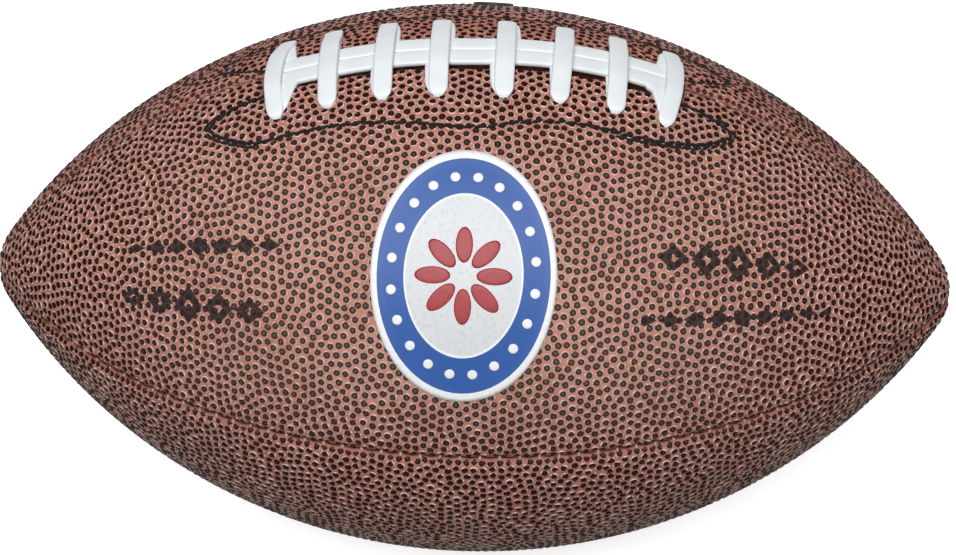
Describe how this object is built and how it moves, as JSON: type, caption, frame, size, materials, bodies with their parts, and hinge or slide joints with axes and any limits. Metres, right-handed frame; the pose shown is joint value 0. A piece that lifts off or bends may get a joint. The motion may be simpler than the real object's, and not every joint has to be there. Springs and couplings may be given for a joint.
{
  "type": "american football",
  "caption": "Laced leather ball with pointed round ends: pebbled cover panels sewn over a lining and a rubber bladder, with a needle valve and a white lace.",
  "frame": {"origin": "centre of the ball", "axes": "+X along the ball's long axis, +Z out through the lacing, +Y towards the valve side"},
  "size_m": [0.2818, 0.161, 0.164],
  "materials": {
    "pebbled_leather": "pebbled, brown with dark tops, satin",
    "lining_cloth": "plain woven cotton",
    "stay_cloth": "stiff woven strip",
    "black_thread": "twisted waxed thread",
    "seam_thread": "twisted waxed thread",
    "white_lace": "soft grained white lace, satin",
    "tongue_felt": "pressed felt",
    "bladder_rubber": "smooth black rubber",
    "valve_rubber": "moulded black rubber, satin",
    "plug_rubber": "soft moulded rubber, satin"
  },
  "bodies": {
    "ball": {"panel_top_front": "pebbled_leather", "panel_top_back": "pebbled_leather", "panel_bottom_front": "pebbled_leather", "panel_bottom_back": "pebbled_leather", "lining_top_front": "lining_cloth", "lining_top_back": "lining_cloth", "lining_bottom_front": "lining_cloth", "lining_bottom_back": "lining_cloth", "lace_stay_front": "stay_cloth", "lace_stay_back": "stay_cloth", "stay_stitching_front": "black_thread", "stay_stitching_back": "black_thread", "lace": "white_lace", "tongue": "tongue_felt", "bladder": "bladder_rubber", "valve_housing": "valve_rubber", "valve_patch": "bladder_rubber", "seam_thread_top": "seam_thread", "seam_thread_front": "seam_thread", "seam_thread_back": "seam_thread", "seam_thread_bottom": "seam_thread"},
    "valve_plug": {"valve_plug": "plug_rubber"}
  },
  "joints": [
    {"name": "valve_plug_pull", "type": "slide", "parent": "ball", "child": "valve_plug", "axis": [0.0236, 0.5445, 0.8384], "range_m": [0, 0.016]}
  ]
}
